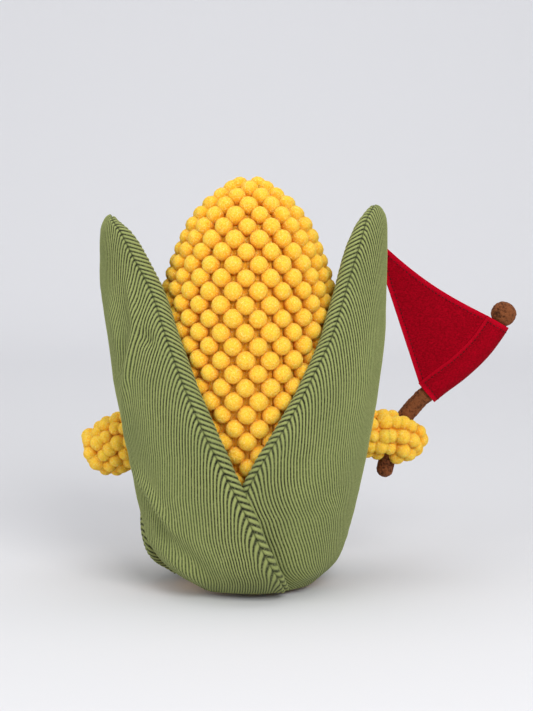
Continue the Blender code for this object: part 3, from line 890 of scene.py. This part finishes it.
def build_arm(name, arm, fleece, keep_clear=None):
    """A short stuffed arm, closely covered with small bobbles."""
    origin = np.array(arm["root"])
    turn = np.array((Vector(arm["hand"]) - Vector(arm["root"])).to_track_quat("Z", "Y").to_matrix())
    line = arm_curve(arm, ARM_BOBBLE * 0.76)
    run = run_along(line)
    ahead = unit(np.gradient(line, axis=0))
    spots, normals = [], []
    s, row = 0.0, 0
    while s < run[-1]:
        height, radius = (np.interp(s, run, line[:, c]) for c in (0, 1))
        slope = np.array([np.interp(s, run, ahead[:, c]) for c in (0, 1)])
        count = max(int(round(2 * math.pi * radius / ARM_SPACING)), 1)
        for k in range(count):
            around = 2 * math.pi * (k + 0.5 * (row % 2)) / count + 0.4 * row
            around += rng.normal(0, 0.7) / max(radius, 3.0)
            out = np.array([math.cos(around), math.sin(around)])
            local = np.array([*(out * radius), height + rng.normal(0, 0.8)])
            facing = np.array([*(out * -slope[0]), slope[1]]) if s > 0 else np.array([0, 0, 1.0])
            spot = turn @ local + origin
            if keep_clear is None or keep_clear(spot):
                spots.append(spot)
                normals.append(turn @ unit(facing))
        s += ARM_SPACING * 0.80
        row += 1
    radii = ARM_BOBBLE * rng.normal(1.0, 0.09, len(spots))
    field = bobble_field(f"{name}_bobbles", spots, normals, radii, 0.5, fleece)
    inside = arm_curve(arm, ARM_BOBBLE * 0.92)
    inside = np.vstack([[inside[0, 0], 0.0], inside[1:], [inside[-1, 0], 0.0]])
    # 0.45 is the painted light level of the fleece between the arm's bobbles.
    skin = turned_skin(f"{name}_backing", inside, 49, fleece, 0.45)
    points = np.array([v.co for v in skin.data.vertices]) / MM
    set_points(skin.data, points @ turn.T + origin)
    ride(field, [f"{name}_cover"])
    ride(skin)


# ---------------------------------------------------------------- stick and pennant

STICK_SPOTS = through(STICK_ROUTE, np.linspace(0, 1, 401))
STICK_RUN = run_along(STICK_SPOTS)
STICK_AHEAD = unit(np.gradient(STICK_SPOTS, axis=0))
STICK_LENGTH = float(STICK_RUN[-1])


def along_stick(distance):
    """Centre and direction of the stick at distances from its bottom end, past the ends too."""
    distance = np.atleast_1d(np.asarray(distance, float))
    inside = np.clip(distance, 0, STICK_LENGTH)
    centre = np.stack([np.interp(inside, STICK_RUN, STICK_SPOTS[:, c]) for c in range(3)], -1)
    ahead = unit(np.stack([np.interp(inside, STICK_RUN, STICK_AHEAD[:, c]) for c in range(3)], -1))
    return centre + ahead * (distance - inside)[:, None], ahead


def stick_frame(distance):
    centre, ahead = along_stick(distance)
    side = np.stack([ahead[:, 2], np.zeros(len(ahead)), -ahead[:, 0]], -1)
    return centre, ahead, side


def clear_of_stick(spot):
    gap = np.linalg.norm(STICK_SPOTS - spot, axis=1).min()
    return gap > STICK_RADIUS + KEEP_CLEAR


def build_stick():
    turn = np.linspace(0, math.pi - math.asin(4.4 / KNOB_RADIUS), 40)
    knob = np.stack([STICK_LENGTH + KNOB_RADIUS * np.cos(turn), KNOB_RADIUS * np.sin(turn)], -1)
    shaft_top = knob[-1, 0] - 1.0
    heights = np.linspace(shaft_top, 4.0, 190)
    shaft = np.stack([heights, np.full(190, STICK_RADIUS)], -1)
    end_turn = np.linspace(0, math.pi / 2, 14)[1:]
    end = np.stack([4.0 - 4.4 * np.sin(end_turn), STICK_RADIUS * np.cos(end_turn)], -1)
    line = np.vstack([knob, shaft, end])
    columns = 65
    around = np.linspace(0, 2 * np.pi, columns)
    centre, _, side = stick_frame(line[:, 0])
    back = np.array([0.0, 1.0, 0.0])
    out = (side[:, None] * np.cos(around)[None, :, None] + back * np.sin(around)[None, :, None])
    out[:, -1] = out[:, 0]
    points = centre[:, None] + out * line[:, 1][:, None, None]
    flat = points.reshape(-1, 3)
    clump = 0.5 - np.abs(noise(flat, 1.9, 1)) + 0.5 - np.abs(noise(flat, 1.3, 6))
    fur = 0.42 * clump + 0.20 * noise(flat, 0.9, 2) + 0.20 * noise(flat, 5.0, 4)
    fur = fur.reshape(points.shape[:2])
    fur[0], fur[-1] = 0.0, 0.0
    points = points + out * fur[..., None]
    piece = grid_piece("flag_stick_plush", columns, len(line), points)
    # The fur's clump height, which the plush turns into painted shade in its creases.
    mark_painted_shading(piece, np.clip(0.5 + fur, 0, 1))
    close_skin(piece)
    dress(piece, brown_plush())
    ride(piece, ["flag_stick_cover"])


def pennant_points(plate_columns, turn_columns, rows):
    """The felt's middle surface: the pennant, its turn round the stick, and the sewn-down flap."""
    along = np.linspace(0.0, 1.0, rows)
    spot = (SLEEVE_FROM + (SLEEVE_TO - SLEEVE_FROM) * along) * STICK_LENGTH
    centre, _, side = stick_frame(spot)
    back = np.array([0.0, 1.0, 0.0])
    loop = STICK_RADIUS + 0.3 + FELT / 2
    hem = centre - side * (loop + 0.4)
    hem[:, 1] = PLATE_Y
    tip = np.array(PENNANT_TIP)
    start = tip + (hem - hem[rows // 2]) * 0.05
    start[:, 1] = PLATE_Y
    share = np.linspace(0, 1, plate_columns)[:, None, None]
    plate = start[None] + (hem - start)[None] * share
    run = unit(hem[-1] - start[-1])
    sag = np.array([run[2], 0.0, -run[0]]) * PENNANT_SAG
    plate = plate + sag * np.sin(np.pi * share) * (along ** 2)[None, :, None]
    turns = np.radians(np.linspace(140.0, -125.0, turn_columns))[:, None, None]
    sleeve = centre[None] + side[None] * loop * np.cos(turns) + back * loop * np.sin(turns)
    flap_share = np.linspace(0, 1, FLAP_COLUMNS + 1)[1:, None, None]
    flap_end = centre - side * (loop + 1.2)
    flap_end[:, 1] = PLATE_Y - FELT - 0.2
    flap = sleeve[-1][None] + (flap_end - sleeve[-1])[None] * flap_share
    return np.concatenate([plate, sleeve, flap])


def build_pennant(material, thread):
    grid = pennant_points(PLATE_COLUMNS, TURN_COLUMNS, PENNANT_ROWS)
    flat = grid.reshape(-1, 3)
    wave = 0.30 * noise(flat, 16.0, 8) + 0.06 * noise(flat, 2.0, 9)
    calm = smooth_step((125.0 - flat[:, 0]) / 30.0) * 0.8 + 0.2
    grid = (flat + np.array([[0.0, 1.0, 0.0]]) * (wave * calm)[:, None]).reshape(grid.shape)
    points = np.swapaxes(grid, 0, 1)
    piece = grid_piece("pennant_felt", grid.shape[0], PENNANT_ROWS, points)
    mesh = piece.data
    if mesh.polygons[20].normal.y > 0:
        mesh.flip_normals()
    upper = np.linalg.norm(points - points[-1:], axis=-1)
    lower = np.linalg.norm(points - points[:1], axis=-1)
    flap = np.linalg.norm(points - points[:, -1:], axis=-1)
    # Painted highlight along the long edges and the flap's edge.
    edge_highlight = np.exp(-(np.minimum(np.minimum(upper, lower), flap) / EDGE_HIGHLIGHT_WIDTH) ** 2)
    mark_painted_shading(piece, edge_highlight)
    wall = piece.modifiers.new("Felt", "SOLIDIFY")
    wall.thickness = FELT * MM
    wall.offset = 0.0
    edge = piece.modifiers.new("Edge", "BEVEL")
    edge.width = 0.5 * MM
    edge.segments = 3
    edge.limit_method = "ANGLE"
    edge.angle_limit = math.radians(50)
    apply_modifiers(piece)
    dress(piece, material)
    ride(piece, ["flag"])
    stitches(grid, thread)


def stitches(grid, thread):
    """Short stitches along the pennant's long edges, beside its sleeve, and across its ends."""
    away = unit(np.cross(np.gradient(grid, axis=1), np.gradient(grid, axis=0)))
    away = away * np.sign(-away[5, 5, 1])
    rows, columns = grid.shape[1], grid.shape[0]
    plate_end, last = PLATE_COLUMNS - 1.0, columns - 1.0
    flap = np.linalg.norm(np.diff(grid[:, rows // 2], axis=0), axis=-1)
    from_flap = np.concatenate([[0.0], np.cumsum(flap[::-1])])

    def inset(column, edge):
        """Row places an inset away from one long edge, all along some columns."""
        steps = np.linalg.norm(np.diff(bilinear_line(grid, column), axis=1), axis=-1)
        run = np.concatenate([np.zeros((len(column), 1)), np.cumsum(steps, axis=1)], axis=1)
        places = []
        for line in run:
            reach = min(STITCH_INSET, line[-1] * 0.32)
            want = reach if edge == 0 else line[-1] - reach
            places.append(np.interp(want, line, np.arange(rows)))
        return np.array(places)

    long_run = np.linspace(2.0, plate_end, 200)
    seam_column = np.full(80, np.interp(STITCH_INSET, from_flap, last - np.arange(columns)))
    end_run = np.linspace(plate_end + TURN_COLUMNS * 0.55, last - 1.0, 60)
    lines = [(long_run, inset(long_run, 0)), (long_run, inset(long_run, 1)),
             (seam_column, np.linspace(2.5, rows - 3.5, 80)),
             (end_run, np.full(60, 3.2)), (end_run, np.full(60, rows - 4.2))]
    sticks = []
    for column, row in lines:
        outside = np.where(column > PLATE_COLUMNS, -1.0, 1.0)[:, None]
        line = bilinear(grid, column, row) + outside * bilinear(away, column, row) * STITCH_LIFT
        run = run_along(line)
        for start in np.arange(0.6, run[-1] - 1.2, STITCH_STEP):
            sticks.append([np.array([np.interp(d, run, line[:, c]) for c in range(3)])
                           for d in (start, start + STITCH)])
    deselect()
    bpy.ops.mesh.primitive_uv_sphere_add(segments=8, ring_count=5, radius=1.0, calc_uvs=False)
    ball = bpy.context.object
    base = np.array([v.co for v in ball.data.vertices])
    places = []
    for start, end in sticks:
        turn = np.array(Vector(end - start).to_track_quat("Z", "Y").to_matrix())
        body = base * np.array([STITCH_RADIUS, STITCH_RADIUS, np.linalg.norm(end - start) / 2])
        places.append(body @ turn.T + (start + end) / 2)
    ride(copied_piece("pennant_stitches", ball, places, thread))


def bilinear_line(grid, column):
    low = np.clip(column.astype(int), 0, len(grid) - 2)
    f = (column - low)[:, None, None]
    return grid[low] * (1 - f) + grid[low + 1] * f


# ---------------------------------------------------------------- studio

def build_studio():
    deselect()
    bpy.ops.mesh.primitive_grid_add(x_subdivisions=2, y_subdivisions=60, size=2.0)
    sweep = bpy.context.object
    sweep.name = "studio_sweep"
    points = np.array([v.co for v in sweep.data.vertices])
    run = (points[:, 1] + 1) / 2
    bend = np.clip((run - 0.5) / 0.25, 0, 1) * math.pi / 2
    radius = 0.9
    y = np.where(run < 0.5, -3.0 + run * 2 * 4.2, 1.2 + radius * np.sin(bend))
    z = np.where(run < 0.5, 0.0, radius * (1 - np.cos(bend)))
    z = z + np.clip((run - 0.75) / 0.25, 0, 1) * 2.5
    set_points(sweep.data, np.stack([points[:, 0] * 4.0, y, z], -1) / MM)
    sweep.data.shade_smooth()
    g = Graph("studio_paper", 0.9, Specular_IOR_Level=0.1)
    shade = g.between(g.axis(g.place(), "Y"), 0.1, 1.6)
    sweep.data.materials.append(g.finish(g.mix(shade, rgb(211, 211, 213), rgb(241, 241, 243))))

    world = bpy.data.worlds.new("studio")
    bpy.context.scene.world = world
    world.use_nodes = True
    world.node_tree.nodes["Background"].inputs["Color"].default_value = (0.95, 0.96, 1.0, 1.0)
    world.node_tree.nodes["Background"].inputs["Strength"].default_value = 0.54

    def soft_light(name, place, target, size, power):
        data = bpy.data.lights.new(name, "AREA")
        data.shape = "RECTANGLE"
        data.size, data.size_y = size
        data.energy = power
        light = bpy.data.objects.new(name, data)
        light.location = place
        light.rotation_euler = (Vector(target) - Vector(place)).to_track_quat("-Z", "Y").to_euler()
        bpy.context.scene.collection.objects.link(light)

    soft_light("key", (0.55, -1.3, 0.95), (0, 0, 0.1), (0.8, 0.8), 19.5)
    soft_light("fill", (-1.2, -1.0, 0.7), (0, 0, 0.1), (1.2, 1.2), 9.0)
    soft_light("top", (0.0, 0.1, 1.5), (0, 0, 0.1), (1.4, 1.2), 8.0)


def build_camera():
    data = bpy.data.cameras.new("camera")
    data.lens = 85.0
    data.sensor_width = 36.0
    data.dof.use_dof = False
    camera = bpy.data.objects.new("camera", data)
    elevation = math.radians(6.0)
    distance = 0.9317
    target = Vector((0.0097, 0.0, 0.1275))
    camera.location = target + distance * Vector((0, -math.cos(elevation), math.sin(elevation)))
    camera.rotation_euler = (math.pi / 2 - elevation, 0, 0)
    bpy.context.scene.collection.objects.link(camera)
    bpy.context.scene.camera = camera


def finish_inner_nodes():
    """Finishes for the CAD pieces that stay: the base, and what is inside the toy."""
    finishes = {
        "base_panel": flat_corduroy(),
        "cob_stuffing": plain("fibre_fill", rgb(225, 225, 220)),
        "pellet_bag": plain("bag_cloth", rgb(205, 200, 188)),
        "left_arm_stuffing": plain("arm_fill", rgb(225, 225, 220)),
        "right_arm_stuffing": plain("arm_fill", rgb(225, 225, 220)),
        "flag_stick_core": plain("rod", rgb(225, 223, 215), 0.5),
    }
    for node, material in finishes.items():
        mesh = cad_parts[node].data
        mesh.materials.clear()
        mesh.materials.append(material)


build_camera()
build_leaves()
build_cob(bobble_fleece("bobble_fleece", 0.0))
# The arms' fleece is a copy of the bobble fleece with its painted light raised by 0.1.
arm_fleece = bobble_fleece("arm_fleece", 0.1)
build_arm("left_arm", LEFT_ARM, arm_fleece)
build_arm("right_arm", RIGHT_ARM, arm_fleece, clear_of_stick)
build_stick()
build_pennant(felt(), plain("red_thread", rgb(86, 0, 9), 0.8))
finish_inner_nodes()
build_studio()
bpy.context.scene.view_settings.view_transform = "Standard"
